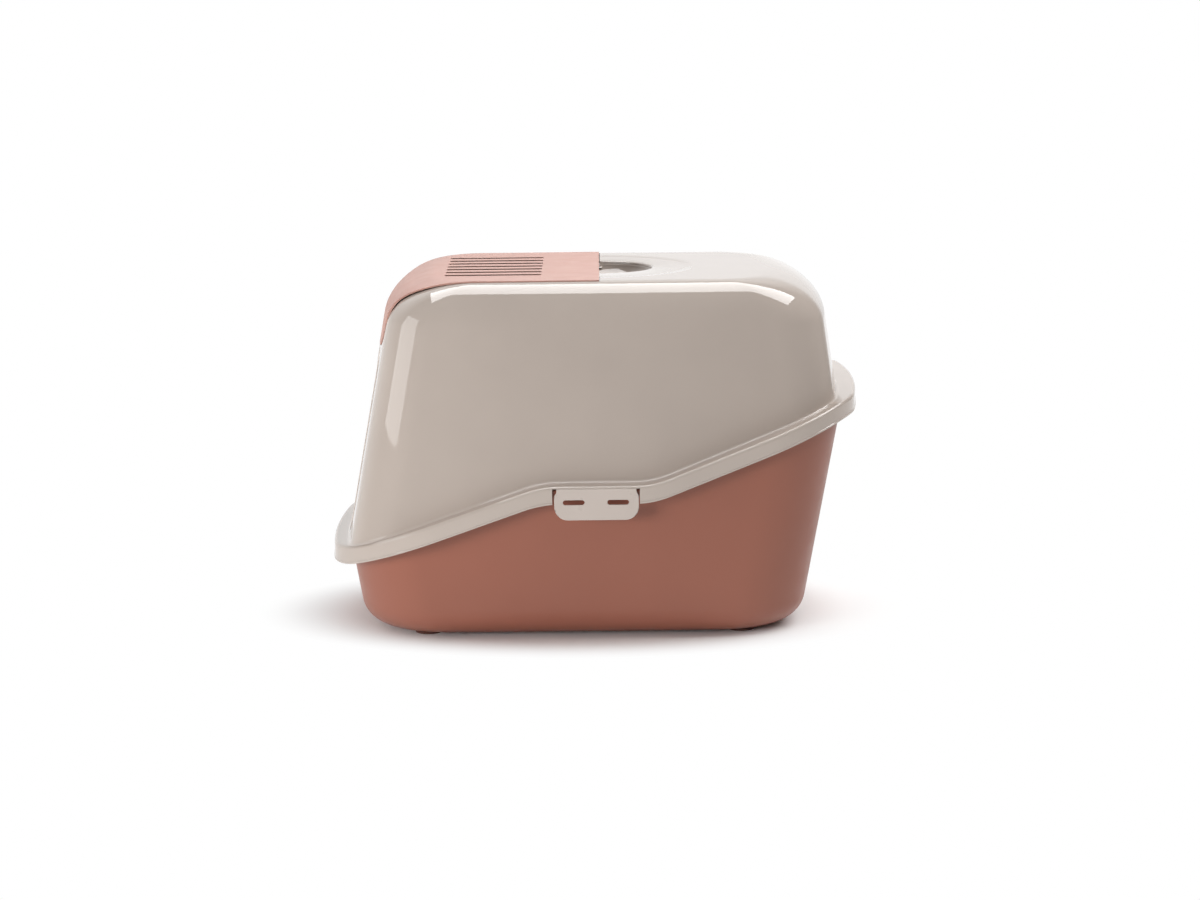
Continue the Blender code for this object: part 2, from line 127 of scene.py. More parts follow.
# The cover, its step in the hood, and the dish inside a faint hollow
COVER_HALF_WIDTH = COVER_BOX[1][1]
COVER_FRONT_HALF_WIDTH = COVER_HALF_WIDTH - 12.0
COVER_NARROWS = (374.0, 352.0)
COVER_CORNER = 45.0
COVER_TIGHT = 0.88
COVER_PROUD = 1.0
COVER_REAR = COVER_BOX[1][0]
COVER_LOW = COVER_BOX[0][2]
COVER_GAP = 0.7
COVER_THICK = 2.5
COVER_EDGE = 0.6
STEP_DEPTH = 5.5
STEP_UNDER_SKIN = 1.2
DISH_X = 8.6
DISH_RADIUS = 55.0
DISH_DEPTH = 24.0
DISH_SQUARE = 0.9
DISH_LIP = 3.0
HOLLOW_RADIUS = 96.0
HOLLOW_DEPTH = 0.8
HOLLOW_FADE = 6.0

# The cover's slots. The cover is thinned from below round each of them.
SLOTS = 7
SLOT_PITCH = 25.6
SLOT_X = (-155.0, -53.0)
SLOT_HALF_WIDTH = 5.0
SLOT_ROUND = 3.0
THIN_X = (-157.5, -50.5)
THIN_HALF_WIDTH = 8.0
THIN_ROUND = 5.0
THIN_TOP = 0.4

# The hole in the step through which the filter tray drops
TRAY_HOLE_HALF_WIDTH = 88.3
TRAY_HOLE_INSET = (2.0, 6.0)
TRAY_HOLE_ROUND = 6.0

# The doorway and its flap
FRAME_WALL = 3.0
FRAME_LIP = 8.0
FRAME_CORNER = 16.0
FRAME_SEAT = 0.8
FRAME_PROUD = 0.5
FRAME_EDGE = 0.3
DOOR_HALF_WIDTH = 81.0
DOOR_HALF_THICK = 1.1
DOOR_CORNER = 14.0
DOOR_EDGE = 0.8
DOOR_AXLE_RADIUS = 2.4
DOOR_AXIS_Z = DOOR_BOX[1][2] - 18.0
PULL_HALF_LENGTH = 35.0
PULL_OUT = 4.0
PULL_HEIGHT = 4.0
PULL_RISE = 8.0
PULL_ROUND = 1.9

# The foam pad: its corners, its longest facet, its sagging edges and its cells
FOAM_CORNER = 5.0
FOAM_EDGE = 1.2
FOAM_FACET = 3.5
FOAM_SAG = 0.9
FOAM_SINK = 0.5
FOAM_DEPTH = 0.45
FOAM_CELL = 2.1
FOAM_FINE_CELL = 0.9
FOAM_FINE_SHARE = 0.6

# The clips, their notches in the rim and their slots
CLIP_CORNER = 14.0
CLIP_STEP = 2.5
CLIP_STEP_Z = 160.0
CLIP_STEP_HEIGHT = 6.5
CLIP_EDGE = 0.5
CLIP_SLOT_X = (-21.0, 24.7)
CLIP_SLOT_Z = (151.9, 157.1)
CLIP_SLOT_HALF_LENGTH = 11.2
CLIP_SLOT_ROUND = 2.5
NOTCH_FRONT_GAP = 2.0
NOTCH_REAR_GAP = 1.0
NOTCH_DEPTH = 4.5
NOTCH_PAST = 20.0

# The feet
FOOT_EDGE = 0.8

# The floor fades to a white glow away from the pan, whose footprint is first scaled to a circle:
# painted light that lifts the cast shadow and ends it close round the pan
FLOOR_RADIUS = 3.0
FLOOR_GREY = 0.95
FLOOR_SHRINK = (1.0 / 0.25, 1.0 / 0.165, 0.0)
FLOOR_SHIFT = (0.04, 0.0, 0.0)
FLOOR_FADE = (0.95, 1.45)

# The backdrop's brightness, and where it changes: along its bright side, below and above
WORLD_BRIGHT_SIDE = (-0.45, 0.89, 0.0)
WORLD_NEAR = 0.1
WORLD_FAR = 1.15
WORLD_BELOW = 0.6
WORLD_ABOVE = 2.8
WORLD_DEPTH_FADE = (0.3, 0.95)
WORLD_BELOW_FADE = (-0.25, 0.02)
WORLD_ABOVE_FADE = (0.3, 0.8)

# The lights: name, place, aim, size, watts, and the kind of ray that doesn't see it
LIGHTS = (
    ("top_shine", (0.3, 0.215, 1.9), (0.3, 0.215, 0.0), (2.4, 1.37), 98.0, "visible_diffuse"),
    ("left_shine", (-1.35, -0.8, 0.74), (0.0, -0.8, 0.74), (1.1, 0.82), 11.0, "visible_diffuse"),
    ("top_fill", (1.05, 0.0, 1.7), (0.0, 0.0, 0.2), (1.7, 1.7), 33.0, "visible_glossy"),
    ("left_fill", (-0.9, -1.1, 0.3), (-0.1, -0.17, 0.2), (0.6, 0.4), 10.5, "visible_glossy"),
)

# The camera: its place, how far it turns right, down and over, and its sensor and lens
CAMERA_AT = (0.0102, -3.4602, 0.7858)
CAMERA_YAW = -0.0011
CAMERA_DOWN = 0.1748
CAMERA_ROLL = -0.0110
CAMERA_SENSOR = 36.0
CAMERA_LENS = 97.26

# Mesh fineness
END_STEPS = 30
SIDE_STEPS = 84
HOLLOW_STEPS = 8
CORNER_SEGMENTS = 8
EDGE_SEGMENTS = 3


# ---------------------------------------------------------------- meshes

def add_object(name, data):
    made = bpy.data.objects.new(name, data)
    bpy.context.scene.collection.objects.link(made)
    return made


def shape_object(name, shape):
    """An object made of a bmesh, which isn't needed afterwards."""
    mesh = bpy.data.meshes.new(name)
    shape.to_mesh(mesh)
    shape.free()
    return add_object(name, mesh)


@contextmanager
def editing(mesh):
    """Opens a mesh as a bmesh, and writes it back afterwards."""
    shape = bmesh.new()
    shape.from_mesh(mesh)
    yield shape
    shape.to_mesh(mesh)
    shape.free()


def mesh_object(name, verts, faces):
    """An object in metres from points in millimetres."""
    mesh = bpy.data.meshes.new(name)
    mesh.from_pydata([tuple(v) for v in np.asarray(verts, float) * MM], [], faces)
    mesh.validate()
    with editing(mesh) as shape:
        bmesh.ops.recalc_face_normals(shape, faces=shape.faces)
    return add_object(name, mesh)


def smooth(made, angle=30.0):
    made.data.shade_smooth()
    made.data.set_sharp_from_angle(angle=radians(angle))
    return made


def apply_modifiers(made):
    """Replaces an object's mesh by what its modifiers make of it."""
    evaluated = made.evaluated_get(bpy.context.evaluated_depsgraph_get())
    mesh = bpy.data.meshes.new_from_object(evaluated)
    made.modifiers.clear()
    made.data = mesh
    return made


def cut(made, tools, operation="DIFFERENCE"):
    """Cuts the tools out of an object, or joins them to it, and removes them."""
    for tool in tools:
        step = made.modifiers.new(tool.name, "BOOLEAN")
        step.operation = operation
        step.object = tool
        step.solver = "EXACT"
    apply_modifiers(made)
    for tool in tools:
        bpy.data.objects.remove(tool, do_unlink=True)
    return made


def bevel(shape, edges, width, segments):
    bmesh.ops.bevel(shape, geom=edges, offset=width, segments=segments, profile=0.5, affect="EDGES")


def sharp_edges(shape, angle):
    shared = [e for e in shape.edges if len(e.link_faces) == 2]
    return [e for e in shared if e.calc_face_angle() > radians(angle)]


def rounded_box(name, low, high, radius, axis, edge=0.0):
    """A box whose four edges along one axis are rounded, and all its other edges a little."""
    shape = bmesh.new()
    bmesh.ops.create_cube(shape, size=1.0)
    size = [b - a for a, b in zip(low, high)]
    middle = [(a + b) / 2 for a, b in zip(low, high)]
    bmesh.ops.scale(shape, vec=size, verts=shape.verts)
    bmesh.ops.translate(shape, vec=middle, verts=shape.verts)
    index = "XYZ".index(axis)
    if radius > 0:
        along = [e for e in shape.edges if abs((e.verts[0].co - e.verts[1].co)[index]) > 1e-6]
        bevel(shape, along, radius, CORNER_SEGMENTS)
    if edge > 0:
        bevel(shape, sharp_edges(shape, 40.0), edge, EDGE_SEGMENTS)
    bmesh.ops.scale(shape, vec=(MM, MM, MM), verts=shape.verts)
    bmesh.ops.recalc_face_normals(shape, faces=shape.faces)
    return shape_object(name, shape)


def prism(name, outline, axis, low, high):
    """An outline drawn out along X or Y. The outline's second number is the height."""
    rows = []
    for along in (low, high):
        rows.append([(along, a, z) if axis == "X" else (a, along, z) for a, z in outline])
    return mesh_object(name, np.vstack(rows), loft_faces(2, len(outline)))


def even_out(made):
    """Shades an object smoothly, with its flat faces kept flat."""
    smooth(made, 35.0)
    even = made.modifiers.new("even", "WEIGHTED_NORMAL")
    even.weight = 50
    even.keep_sharp = True
    apply_modifiers(made)


def soften(made, width):
    """Rounds an object's sharp edges a little."""
    with editing(made.data) as shape:
        bmesh.ops.triangulate(shape, faces=[f for f in shape.faces if len(f.verts) > 4])
    edge = made.modifiers.new("edge", "BEVEL")
    edge.width = width * MM
    edge.segments = EDGE_SEGMENTS
    edge.limit_method = "ANGLE"
    edge.angle_limit = radians(50.0)
    edge.use_clamp_overlap = False
    even_out(apply_modifiers(made))


def merge_flat(made):
    """Joins neighbouring faces that lie in one plane, so that a flat part shades as one face."""
    with editing(made.data) as shape:
        bmesh.ops.dissolve_limit(shape, angle_limit=radians(0.2), verts=shape.verts,
                                 edges=shape.edges)


# ---------------------------------------------------------------- outlines and lofts

def ease(share):
    """A share between 0 and 1 that starts and ends slowly."""
    return share * share * (3.0 - 2.0 * share)


def rim_height(x):
    """The height of the rim's top at places along the box."""
    x = np.asarray(x, float)
    reach = np.linspace(-RIM_EASE, RIM_EASE, 25)
    return np.mean([np.interp(x + r, RIM_X, RIM_Z) for r in reach], axis=0)


def end_fall(y, half_width, corner, crown):
    """How far an end wall falls back from its middle, through its crown and its corner."""
    turn = np.clip((y - half_width + corner) / corner, 0.0, 1.0)
    return crown * (y / half_width) ** 2 + corner * (1.0 - np.sqrt(1.0 - turn * turn))


def make_stations():
    """Where the points of half an outline lie: on the front end, the side or the rear end."""
    ends = np.arange(END_STEPS) / END_STEPS
    sides = np.linspace(0.0, 1.0, SIDE_STEPS + 1)
    kind = np.concatenate([np.zeros(END_STEPS), np.ones(SIDE_STEPS + 1), np.full(END_STEPS, 2)])
    return kind.astype(int), np.concatenate([ends, sides, ends[::-1]])


KIND, ALONG = make_stations()


def plan_points(plan):
    """Half an outline on the -Y side. A part of the plan is one number, or one per station."""
    front, rear, half_width, corners, crowns, bow = plan
    falls = [end_fall(half_width, half_width, corners[i], crowns[i]) for i in (0, 1)]
    turn = np.where(KIND == 1, 1.0, np.sin(ALONG * pi / 2))
    y = half_width * turn
    x_front = -front + end_fall(y, half_width, corners[0], crowns[0])
    x_rear = rear - end_fall(y, half_width, corners[1], crowns[1])
    x_side = -front + falls[0] + ALONG * (rear - falls[1] + front - falls[0])
    x = np.where(KIND == 0, x_front, np.where(KIND == 1, x_side, x_rear))
    return x, -y * (1.0 - bow / half_width * (2.0 * x / LENGTH) ** 2)


def ring(plan_at, height_at):
    """One closed row of a loft. Its plan depends on its height, and its height on X."""
    z = height_at(np.zeros(len(KIND)))
    for _ in range(12):
        x, y = plan_points(plan_at(z))
        z = height_at(x)
    half = np.column_stack([x, y, z])
    far = half[-2:0:-1] * (1.0, -1.0, 1.0)
    return np.vstack([half, far])


def level(height):
    return lambda x: np.full(np.shape(x), float(height))


def loft_faces(rows, count):
    """The quads between closed rows of points, then a face over the first row and the last."""
    faces = []
    for r in range(rows - 1):
        for i in range(count):
            j = (i + 1) % count
            faces.append((r * count + i, r * count + j, (r + 1) * count + j, (r + 1) * count + i))
    return faces + [tuple(range(count)), tuple(range((rows - 1) * count, rows * count))]


def loft(name, rows):
    """A closed body through rows of equal length."""
    return mesh_object(name, np.vstack(rows), loft_faces(len(rows), len(rows[0])))


def rim_plan(offset):
    corners = (RIM_CORNERS[0] + offset, RIM_CORNERS[1] + offset)
    plan = (LENGTH / 2 + offset, LENGTH / 2 + offset, WIDTH / 2 + offset, corners, RIM_CROWNS, 0.0)
    return lambda z: plan


def hood_plan(offset, roll=0.0, tight=1.0):
    """The hood's outline at a height. roll turns from 0 on the wall to 90 degrees on the top.

    tight scales the shoulder's radii: under 1 it gives a squarer shoulder.
    """
    pull = 1.0 - cos(roll)

    def at(z):
        front = HOOD_FRONT - (z - RIM_Z[0]) * FRONT_LEAN + offset
        front = front - pull * (ROLL_FRONT * tight + offset)
        rear = HOOD_REAR - (z - RIM_Z[3]) * REAR_LEAN + offset
        rear = rear - pull * (ROLL_REAR * tight + offset)
        half_width = HOOD_HALF_WIDTH - (z - RIM_Z[1]) * SIDE_LEAN + offset
        half_width = half_width - pull * (ROLL_SIDE * tight + offset)
        corners = tuple(c + offset - 0.5 * pull * ROLL_SIDE * tight for c in HOOD_CORNERS)
        return front, rear, half_width, corners, HOOD_CROWNS, HOOD_BOW

    return at


def rim_row(offset, drop):
    return ring(rim_plan(offset), lambda x: rim_height(x) - drop)


def wall_rows(offset, start_drop, steps):
    """Rows up the hood's wall, from start_drop below the rim to where the shoulder starts."""
    base = ring(hood_plan(offset), lambda x: rim_height(x) - start_drop)
    high = TOP - ROLL_HEIGHT
    rows = [base]
    for i in range(1, steps):
        share = i / steps
        z = base[:len(KIND), 2] * (1.0 - share) + high * share
        rows.append(ring(hood_plan(offset), lambda x, z=z: z))
    return rows


def roll_rows(offset, steps, tight=1.0):
    """Rows round the shoulder, from the top of the wall to the flat top."""
    rows = []
    height = ROLL_HEIGHT * tight
    for i in range(steps + 1):
        turn = i / steps * pi / 2
        z = TOP - height + (height + offset) * sin(turn)
        rows.append(ring(hood_plan(offset, turn, tight), level(z)))
    return rows


def dish_rows(angle, offset, steps):
    """Rows of circles round the dish: across a faint hollow, over a soft lip and down the bowl."""
    size = DISH_RADIUS - offset
    deep = DISH_DEPTH - offset
    profile = []
    for share in np.linspace(0.0, 1.0, HOLLOW_STEPS + 1)[1:]:
        radius = HOLLOW_RADIUS + HOLLOW_FADE - 2.0 * HOLLOW_FADE * share
        profile.append((radius, HOLLOW_DEPTH * ease(share)))
    for turn in np.linspace(0.0, pi / 2, 7):
        radius = size + DISH_LIP - DISH_LIP * sin(turn)
        profile.append((radius, HOLLOW_DEPTH + DISH_LIP * (1.0 - cos(turn))))
    for turn in np.linspace(0.0, pi / 2, steps + 1)[1:-1]:
        radius = size * cos(turn) ** DISH_SQUARE
        drop = deep * sin(turn) ** DISH_SQUARE
        if drop > HOLLOW_DEPTH + DISH_LIP:
            profile.append((radius, drop))
    profile.append((size * 0.02, deep))
    centre = np.array([DISH_X, 0.0])
    rows = []
    for radius, drop in profile:
        flat = centre + radius * np.column_stack([np.cos(angle), np.sin(angle)])
        rows.append(np.column_stack([flat, np.full(len(flat), TOP + offset - drop)]))
    return rows


def top_rows(edge, offset, steps, dish_steps):
    """Rows from the shoulder's last row inwards: they turn into circles, then go down the dish."""
    centre = np.array([DISH_X, 0.0])
    spokes = edge[:, :2] - centre
    angle = np.arctan2(spokes[:, 1], spokes[:, 0])
    reach = HOLLOW_RADIUS + HOLLOW_FADE
    circle = centre + reach * np.column_stack([np.cos(angle), np.sin(angle)])
    rows = []
    for i in range(1, steps + 1):
        share = i / steps
        flat = edge[:, :2] * (1.0 - share) + circle * share
        rows.append(np.column_stack([flat, np.full(len(flat), TOP + offset)]))
    return rows + dish_rows(angle, offset, dish_steps)


# ---------------------------------------------------------------- materials

def new_material(name):
    """A material with its node tree, its shader and its object coordinates."""
    made = bpy.data.materials.new(name)
    made.use_nodes = True
    tree = made.node_tree
    place = tree.nodes.new("ShaderNodeTexCoord")
    return made, tree, tree.nodes["Principled BSDF"], place.outputs["Object"]


def add_noise(tree, place, scale, detail):
    noisy = tree.nodes.new("ShaderNodeTexNoise")
    noisy.inputs["Scale"].default_value = scale
    noisy.inputs["Detail"].default_value = detail
    tree.links.new(place, noisy.inputs["Vector"])
    return noisy.outputs["Fac"]


def map_range(tree, source, low, high, to_low, to_high, ends="LINEAR"):
    """Takes a value from one range to another, with hard or soft ends."""
    step = tree.nodes.new("ShaderNodeMapRange")
    step.interpolation_type = ends
    step.inputs["From Min"].default_value = low
    step.inputs["From Max"].default_value = high
    step.inputs["To Min"].default_value = to_low
    step.inputs["To Max"].default_value = to_high
    tree.links.new(source, step.inputs["Value"])
    return step.outputs["Result"]


def multiply(tree, first, second):
    step = tree.nodes.new("ShaderNodeMath")
    step.operation = "MULTIPLY"
    tree.links.new(first, step.inputs[0])
    tree.links.new(second, step.inputs[1])
    return step.outputs["Value"]


def moulded_plastic(name, colour, roughness, grain, grain_scale=900.0, mottle=0.03):
    """Nearly even colour, a fine skin texture and slightly uneven gloss."""
    made, tree, shader, place = new_material(name)
    shader.inputs["IOR"].default_value = 1.46
    broad = add_noise(tree, place, 9.0, 3.0)
    strength = map_range(tree, broad, 0.3, 0.7, 1.0 - mottle, 1.0 + mottle)
    tint = tree.nodes.new("ShaderNodeVectorMath")
    tint.operation = "SCALE"
    tint.inputs[0].default_value = colour
    tree.links.new(strength, tint.inputs["Scale"])
    tree.links.new(tint.outputs["Vector"], shader.inputs["Base Color"])

    fine = add_noise(tree, place, 60.0, 4.0)
    gloss = map_range(tree, fine, 0.3, 0.7, roughness * 0.88, roughness * 1.12)
    tree.links.new(gloss, shader.inputs["Roughness"])

    bump = tree.nodes.new("ShaderNodeBump")
    bump.inputs["Strength"].default_value = grain
    bump.inputs["Distance"].default_value = 0.0002
    tree.links.new(add_noise(tree, place, grain_scale, 3.0), bump.inputs["Height"])
    tree.links.new(bump.outputs["Normal"], shader.inputs["Normal"])
    return made


def clear_plastic(name, colour):
    """Clear, smoke tinted and polished, with a faint uneven haze."""
    made, tree, shader, place = new_material(name)
    shader.inputs["Base Color"].default_value = (*colour, 1.0)
    shader.inputs["IOR"].default_value = 1.49
    shader.inputs["Transmission Weight"].default_value = 0.85
    haze = map_range(tree, add_noise(tree, place, 35.0, 2.0), 0.0, 1.0, 0.04, 0.16)
    tree.links.new(haze, shader.inputs["Roughness"])
    return made


HOOD_PLASTIC = moulded_plastic("hood_gloss", (0.455, 0.39, 0.345), 0.03, 0.01, grain_scale=260.0)
# The clips and the doorway frame are the hood's warm grey made about 15 % lighter: painted light
# that makes up for the shade on the clip plates under the rim.
LIGHTENED_CLIP_PLASTIC = moulded_plastic("clip_satin", (0.52, 0.45, 0.405), 0.3, 0.05)
PAN_PLASTIC = moulded_plastic("pan_satin", (0.29, 0.102, 0.065), 0.38, 0.1)
ROSE_PLASTIC = moulded_plastic("cover_matte", (0.50, 0.28, 0.23), 0.6, 0.35)
FOOT_RUBBER = moulded_plastic("foot_rubber", (0.10, 0.045, 0.035), 0.8, 0.3)
TRAY_PLASTIC = moulded_plastic("tray_matte", (0.45, 0.39, 0.35), 0.45, 0.2)
FOAM = moulded_plastic("filter_foam", (0.02, 0.02, 0.021), 0.95, 1.0, grain_scale=420.0, mottle=0.3)
DOOR_PLASTIC = clear_plastic("door_clear", (0.55, 0.50, 0.47))


def dress(made, look, body, node=None):
    """Gives a piece its material and its body, and hides the CAD node that it stands for."""
    made.data.materials.clear()
    made.data.materials.append(look)
    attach(made, body)
    if node:
        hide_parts(node)


# ---------------------------------------------------------------- the pan

def build_pan():
    """A deep pan with round lower edges. Its lip turns out and down under the hood's skirt."""
    def plan(offset, pull=0.0):
        def at(z):
            front = PAN_FRONT + (z - PAN_FRONT_Z) * PAN_LEANS[0] + offset - pull
            rear = PAN_REAR + (z - PAN_REAR_Z) * PAN_LEANS[1] + offset - pull
            half_width = PAN_HALF_WIDTH + (z - PAN_SIDE_Z) * PAN_LEANS[2] + offset - pull
            corners = tuple(c + offset - 0.6 * pull for c in PAN_CORNERS)
            return front, rear, half_width, corners, PAN_CROWNS, PAN_BOW
        return at

    def foot_rows(offset, steps=16):
        rows = []
        radius = PAN_FOOT_RADIUS + offset
        for i in range(steps + 1):
            turn = i / steps * pi / 2
            height = PAN_FLOOR + PAN_FOOT_RADIUS - radius * cos(turn)
            rows.append(ring(plan(offset, radius * (1.0 - sin(turn))), level(height)))
        return rows

    def climb(offset, top_drop, steps=10):
        low = PAN_FLOOR + PAN_FOOT_RADIUS
        top = ring(plan(offset), lambda x: rim_height(x) - top_drop)
        rows = []
        for i in range(1, steps):
            share = i / steps
            z = top[:len(KIND), 2] * share + low * (1.0 - share)
            rows.append(ring(plan(offset), lambda x, z=z: z))
        return rows + [top]

    inner_lip = -LIP_OUT - LIP_THICK
    rows = foot_rows(0.0) + climb(0.0, LIP_TOP + LIP_THICK)
    rows.append(rim_row(inner_lip, LIP_TOP + LIP_THICK))
    rows.append(rim_row(inner_lip, LIP_DROP))
    rows.append(rim_row(-LIP_OUT, LIP_DROP))
    rows.append(rim_row(-LIP_OUT, LIP_TOP + LIP_CHAMFER))
    rows.append(rim_row(-LIP_OUT - LIP_CHAMFER, LIP_TOP))
    rows += climb(-WALL, LIP_TOP)[::-1] + foot_rows(-WALL)[::-1]
    dress(smooth(loft("pan", rows)), PAN_PLASTIC, "base", "base_pan")


# ---------------------------------------------------------------- the hood

def hood_form(name, offset, bottom, roll_steps=12, tight=1.0):
    """The hood's plain form, without rim or dish. The pieces that lie on the hood follow it."""
    rows = []
    high = TOP - ROLL_HEIGHT * tight
    for i in range(6):
        rows.append(ring(hood_plan(offset), level(bottom + (high - bottom) * i / 6)))
    rows += roll_rows(offset, roll_steps, tight)
    return loft(name, rows)


def window(name, grow):
    """The block around the cover, with the outline that the cover has from the front.

    It is widest over the flat top, narrows a little down the front, and has round lower corners.
    """
    radius = COVER_CORNER + grow
    side = []
    for turn in np.linspace(0.0, pi / 2, 17):
        side.append((COVER_FRONT_HALF_WIDTH - COVER_CORNER + radius * sin(turn),
                     COVER_LOW + COVER_CORNER - radius * cos(turn)))
    high, low = COVER_NARROWS
    widening = COVER_HALF_WIDTH - COVER_FRONT_HALF_WIDTH
    for share in np.linspace(0.0, 1.0, 13):
        half_width = COVER_FRONT_HALF_WIDTH + ease(share) * widening
        side.append((half_width + grow, low + share * (high - low)))
    side.append((COVER_HALF_WIDTH + grow, TOP + LENGTH))
    outline = side + [(-y, z) for y, z in reversed(side)]
    return prism(name, outline, "X", -LENGTH, COVER_REAR + grow)


def doorway_block(name, grow, back):
    """A block of the doorway's outline, from far in front of the box to a place along X."""
    border = FRAME_WALL + FRAME_LIP
    half_width = FRAME_BOX[1][1] - border + grow
    low = FRAME_BOX[0][2] + border - grow
    high = FRAME_BOX[1][2] - border + grow
    return rounded_box(name, (-LENGTH, -half_width, low), (back, half_width, high),
                       FRAME_CORNER + grow, "X")


def clip_notches():
    """The spaces in the rim where the clips hang."""
    notches = []
    for side in (-1, 1):
        near, far = sorted((side * (WIDTH / 2 - NOTCH_DEPTH), side * (WIDTH / 2 + NOTCH_PAST)))
        notches.append(rounded_box(f"notch_{side}", (CLIP_BOX[0][0] - NOTCH_FRONT_GAP, near, 0.0),
                                   (CLIP_BOX[1][0] + NOTCH_REAR_GAP, far, RIM_Z[1] - WALL),
                                   0.0, "X"))
    return notches


def build_hood():
    """One skin: up the skirt, over the rim, the wall, the shoulder and the dish, and back inside."""
    outer = [rim_row(out, SKIRT + down) for out, down in SKIRT_EDGE]
    for i in range(9):
        turn = i / 8 * pi / 2
        outer.append(rim_row(RIM_ROUND * cos(turn) - RIM_ROUND, RIM_ROUND - RIM_ROUND * sin(turn)))
    for i in range(7):
        turn = i / 6 * pi / 2
        offset = RIM_FILLET * (1.0 - sin(turn))
        rise = RIM_FILLET * (1.0 - cos(turn))
        outer.append(ring(hood_plan(offset), lambda x, rise=rise: rim_height(x) + rise))
    outer += wall_rows(0.0, -WALL_START, 30) + roll_rows(0.0, 28)
    outer += top_rows(outer[-1], 0.0, 14, 40)
    inner = [rim_row(-WALL, WALL)] + wall_rows(-WALL, WALL, 6) + roll_rows(-WALL, 10)
    inner += top_rows(inner[-1], -WALL, 4, 16)
    hood = loft("hood", outer[::-1] + inner)
    hole = doorway_block("doorway_hole", FRAME_WALL + GAP, -150.0)
    cut(hood, clip_notches() + [step_space("step"), hole])
    smooth(hood, 28.0)
    dress(hood, HOOD_PLASTIC, "hood", "hood_shell")


# ---------------------------------------------------------------- the cover and its step

def step_space(name):
    """The space that the step takes out of the hood."""
    return cut(window(name, COVER_GAP), [hood_form("floor", -STEP_DEPTH, FORM_LOW)])


def cover_slots():
    """The slots, and wider blocks that stop short of the cover's top and thin it from below."""
    slots = []
    for i in range(SLOTS):
        y = (i - SLOTS // 2) * SLOT_PITCH
        slots.append(rounded_box(f"slot_{i}", (SLOT_X[0], y - SLOT_HALF_WIDTH, TOP - 20.0),
                                 (SLOT_X[1], y + SLOT_HALF_WIDTH, TOP + 20.0), SLOT_ROUND, "Z"))
        slots.append(rounded_box(f"thin_{i}", (THIN_X[0], y - THIN_HALF_WIDTH, TOP - 20.0),
                                 (THIN_X[1], y + THIN_HALF_WIDTH, TOP + THIN_TOP),
                                 THIN_ROUND, "Z"))
    return slots


def build_cover():
    cover = window("cover", 0.0)
    outside = hood_form("cover_outside", COVER_PROUD, FORM_LOW, 30, COVER_TIGHT)
    inside = hood_form("cover_inside", COVER_PROUD - COVER_THICK, FORM_LOW, 12, COVER_TIGHT)
    cut(cover, [outside], "INTERSECT")
    cut(cover, [inside])
    soften(cover, COVER_EDGE)
    cut(cover, cover_slots())
    merge_flat(cover)
    even_out(cover)
    dress(cover, ROSE_PLASTIC, "cover", "filter_cover")


def build_step():
    """The sunken floor and side walls under the cover, which are part of the hood's moulding."""
    step = window("hood_step", COVER_GAP + WALL)
    cut(step, [hood_form("under_skin", -STEP_UNDER_SKIN, FORM_LOW)], "INTERSECT")
    below = hood_form("floor_under", -STEP_DEPTH - WALL, FORM_LOW)
    cut(step, [below, step_space("space")])
    around = np.linspace(0.0, 2 * pi, 97)[:-1]
    bowl = loft("bowl", [r + (0.0, 0.0, 3.0) for r in dish_rows(around, 0.0, 24)[HOLLOW_STEPS:]])
    tray_low, tray_high = cad_box("filter_tray")
    hole = rounded_box("tray_hole",
                       (tray_low[0] + TRAY_HOLE_INSET[0], -TRAY_HOLE_HALF_WIDTH, TOP - 60.0),
                       (tray_high[0] - TRAY_HOLE_INSET[1], TRAY_HOLE_HALF_WIDTH, TOP + 10.0),
                       TRAY_HOLE_ROUND, "Z")
    cut(step, [bowl, hole])
    smooth(step, 35.0)
    dress(step, HOOD_PLASTIC, "hood", None)


# ---------------------------------------------------------------- doorway

def build_door_frame():
    """A short tunnel with a lip that is seated in the hood's leaning front wall."""
    tunnel = doorway_block("doorway_frame", FRAME_WALL, FRAME_BOX[1][0])
    lip = doorway_block("lip", FRAME_WALL + FRAME_LIP, -200.0)
    cut(lip, [hood_form("lip_seat", -FRAME_SEAT, FRONT_FORM_LOW)])
    cut(tunnel, [lip], "UNION")
    cut(tunnel, [hood_form("lip_face", FRAME_PROUD, FRONT_FORM_LOW)], "INTERSECT")
    cut(tunnel, [doorway_block("opening", 0.0, -100.0)])
    soften(tunnel, FRAME_EDGE)
    dress(tunnel, LIGHTENED_CLIP_PLASTIC, "hood", "door_frame")


def build_door():
    """A flat flap with a pull rib near its foot and an axle near its top."""
    low, high = DOOR_BOX
    middle = (low[0] + high[0]) / 2
    panel = rounded_box("flap", (middle - DOOR_HALF_THICK, -DOOR_HALF_WIDTH, low[2]),
                        (middle + DOOR_HALF_THICK, DOOR_HALF_WIDTH, high[2]),
                        DOOR_CORNER, "X", edge=DOOR_EDGE)
    pull_low = low[2] + PULL_RISE
    pull = rounded_box("door_pull", (middle - PULL_OUT, -PULL_HALF_LENGTH, pull_low),
                       (middle + PULL_OUT, PULL_HALF_LENGTH, pull_low + PULL_HEIGHT),
                       PULL_ROUND, "Y")
    circle = [(middle + DOOR_AXLE_RADIUS * cos(t), DOOR_AXIS_Z + DOOR_AXLE_RADIUS * sin(t))
              for t in np.linspace(0.0, 2 * pi, 33)[:-1]]
    axle = prism("door_axle", circle, "Y", low[1], high[1])
    cut(panel, [pull, axle], "UNION")
    smooth(panel, 35.0)
    dress(panel, DOOR_PLASTIC, "door", "swing_door")


# ---------------------------------------------------------------- filter pad

